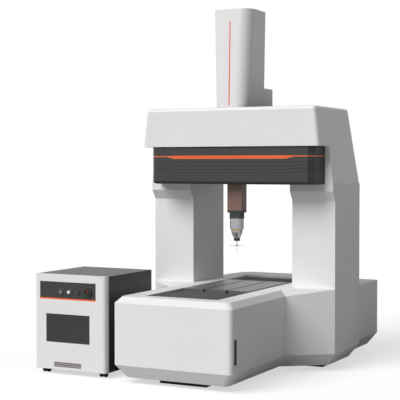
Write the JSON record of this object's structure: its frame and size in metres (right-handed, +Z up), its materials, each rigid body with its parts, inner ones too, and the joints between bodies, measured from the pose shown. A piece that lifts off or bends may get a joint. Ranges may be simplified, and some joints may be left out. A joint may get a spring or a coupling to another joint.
{
  "type": "coordinate measuring machine",
  "caption": "Fixed-bridge coordinate measuring machine with a moving table, overhead carriage, vertical ram with a scanning probe and a separate control cabinet on casters.",
  "frame": {"origin": "on the floor, straight below the axis of the ram, at the underside of the floor plinth", "axes": "+Z up, +Y along the table's travel away from the operator, +X to the operator's right"},
  "size_m": [2.0065, 2.445, 2.75],
  "materials": {
    "painted_white": "satin",
    "white_moulding": "satin",
    "painted_black": "matte",
    "black_moulding": "matte",
    "orange_inlay": "satin",
    "granite": "ground",
    "ceramic_ram": "ground",
    "cast_aluminium": "cast",
    "machined_aluminium": "machined",
    "ground_steel": "ground",
    "cast_iron_table": "ground",
    "rubber_black": "matte",
    "bellows_fabric": "coated",
    "scale_glass": "polished",
    "smoked_glass": "polished",
    "brass_ring": "polished",
    "ruby": "polished",
    "white_button": "satin",
    "grey_button": "satin",
    "red_needle": "satin"
  },
  "bodies": {
    "machine": {"floor_plinth": "painted_black", "vibration_isolators": "rubber_black", "bed": "granite", "table_guideways": "granite", "screw_drives": "painted_black", "measuring_scales": "scale_glass", "deck_frame": "painted_white", "front_cover": "painted_white", "side_cover_right": "painted_white", "side_cover_left": "painted_white", "side_vents": "black_moulding", "service_hatches": "painted_white", "cover_screws": "ground_steel", "rear_cover": "painted_white", "connection_panel": "painted_black", "bellows_front": "bellows_fabric", "bellows_rear": "bellows_fabric", "columns": "granite", "cross_beam": "granite", "column_cover_right": "painted_white", "column_cover_left": "painted_white", "bridge_hood": "white_moulding", "beam_cover": "black_moulding", "beam_stripe": "orange_inlay", "x_bellows": "bellows_fabric"},
    "y_screw": {"y_ball_screw": "ground_steel"},
    "x_screw": {"x_ball_screw": "ground_steel"},
    "z_screw": {"z_ball_screw": "ground_steel"},
    "table": {"work_table": "cast_iron_table", "table_saddle": "cast_aluminium", "table_air_pads": "machined_aluminium"},
    "carriage": {"x_carriage": "cast_aluminium", "carriage_air_pads": "machined_aluminium", "tower_cover": "white_moulding", "tower_stripe": "orange_inlay", "z_drive": "painted_black"},
    "ram": {"ram": "ceramic_ram", "ram_drive_arm": "machined_aluminium", "probe_mount": "black_moulding", "probe_body": "machined_aluminium", "probe_ring": "brass_ring", "probe_nose": "machined_aluminium", "stylus_chuck": "black_moulding"},
    "stylus": {"stylus_star": "ground_steel", "ruby_tips": "ruby"},
    "cabinet": {"cabinet_case": "painted_black", "cabinet_front": "painted_white", "control_panel": "black_moulding", "panel_stripe": "orange_inlay", "cabinet_window": "smoked_glass", "front_grille": "painted_white", "rack_units": "painted_black", "pressure_gauge": "black_moulding", "caster_forks": "painted_black"},
    "front_wheels": {"caster_wheels_front": "rubber_black"},
    "rear_wheels": {"caster_wheels_rear": "rubber_black"},
    "white_button": {"white_button": "white_button"},
    "grey_button": {"grey_button": "grey_button"},
    "key_switch": {"key_switch": "ground_steel"},
    "gauge_needle": {"gauge_needle": "red_needle"}
  },
  "joints": [
    {"name": "table_slide", "type": "slide", "parent": "machine", "child": "table", "axis": [0, 1, 0], "range_m": [-0.35, 0.35], "deforming": ["bellows_front", "bellows_rear"]},
    {"name": "carriage_slide", "type": "slide", "parent": "machine", "child": "carriage", "axis": [1, 0, 0], "range_m": [-0.25, 0.25], "deforming": ["x_bellows"]},
    {"name": "ram_slide", "type": "slide", "parent": "carriage", "child": "ram", "axis": [0, 0, 1], "range_m": [-0.245, 0.205]},
    {"name": "stylus_deflection", "type": "slide", "parent": "ram", "child": "stylus", "axis": [0, 0, 1], "range_m": [0, 0.001], "stiffness_N_per_m": 1000},
    {"name": "y_screw_spin", "type": "hinge", "parent": "machine", "child": "y_screw", "pos_m": [0, 0, 0.47], "axis": [0, 1, 0], "range_deg": [-6400, 6400]},
    {"name": "x_screw_spin", "type": "hinge", "parent": "machine", "child": "x_screw", "pos_m": [0, 0.33, 1.912], "axis": [1, 0, 0], "range_deg": [-4600, 4600]},
    {"name": "z_screw_spin", "type": "hinge", "parent": "carriage", "child": "z_screw", "pos_m": [0, 0.092, 2.53], "axis": [0, 0, 1], "range_deg": [-4500, 4500]},
    {"name": "cabinet_roll", "type": "slide", "parent": "machine", "child": "cabinet", "axis": [0, 1, 0], "range_m": [-0.8, 0.15]},
    {"name": "front_wheel_spin", "type": "hinge", "parent": "cabinet", "child": "front_wheels", "pos_m": [-0.9165, -0.88, 0.025], "axis": [-1, 0, 0], "range_deg": [-1900, 400]},
    {"name": "rear_wheel_spin", "type": "hinge", "parent": "cabinet", "child": "rear_wheels", "pos_m": [-0.9165, -0.353, 0.025], "axis": [-1, 0, 0], "range_deg": [-1900, 400]},
    {"name": "white_button_press", "type": "slide", "parent": "cabinet", "child": "white_button", "axis": [0, 1, 0], "range_m": [0, 0.004], "stiffness_N_per_m": 400},
    {"name": "grey_button_press", "type": "slide", "parent": "cabinet", "child": "grey_button", "axis": [0, 1, 0], "range_m": [0, 0.004], "stiffness_N_per_m": 400},
    {"name": "key_switch_turn", "type": "hinge", "parent": "cabinet", "child": "key_switch", "pos_m": [-0.992, -0.949, 0.62], "axis": [0, -1, 0], "range_deg": [-45, 45]},
    {"name": "gauge_needle_turn", "type": "hinge", "parent": "cabinet", "child": "gauge_needle", "pos_m": [-0.756, -0.949, 0.62], "axis": [0, 1, 0], "range_deg": [-120, 120]}
  ],
  "couplings": [
    {"joint": "y_screw_spin", "follows": "table_slide", "rad_per_m": 314.16},
    {"joint": "x_screw_spin", "follows": "carriage_slide", "rad_per_m": 314.16},
    {"joint": "z_screw_spin", "follows": "ram_slide", "rad_per_m": 314.16},
    {"joint": "front_wheel_spin", "follows": "cabinet_roll", "rad_per_m": 40},
    {"joint": "rear_wheel_spin", "follows": "cabinet_roll", "rad_per_m": 40}
  ]
}
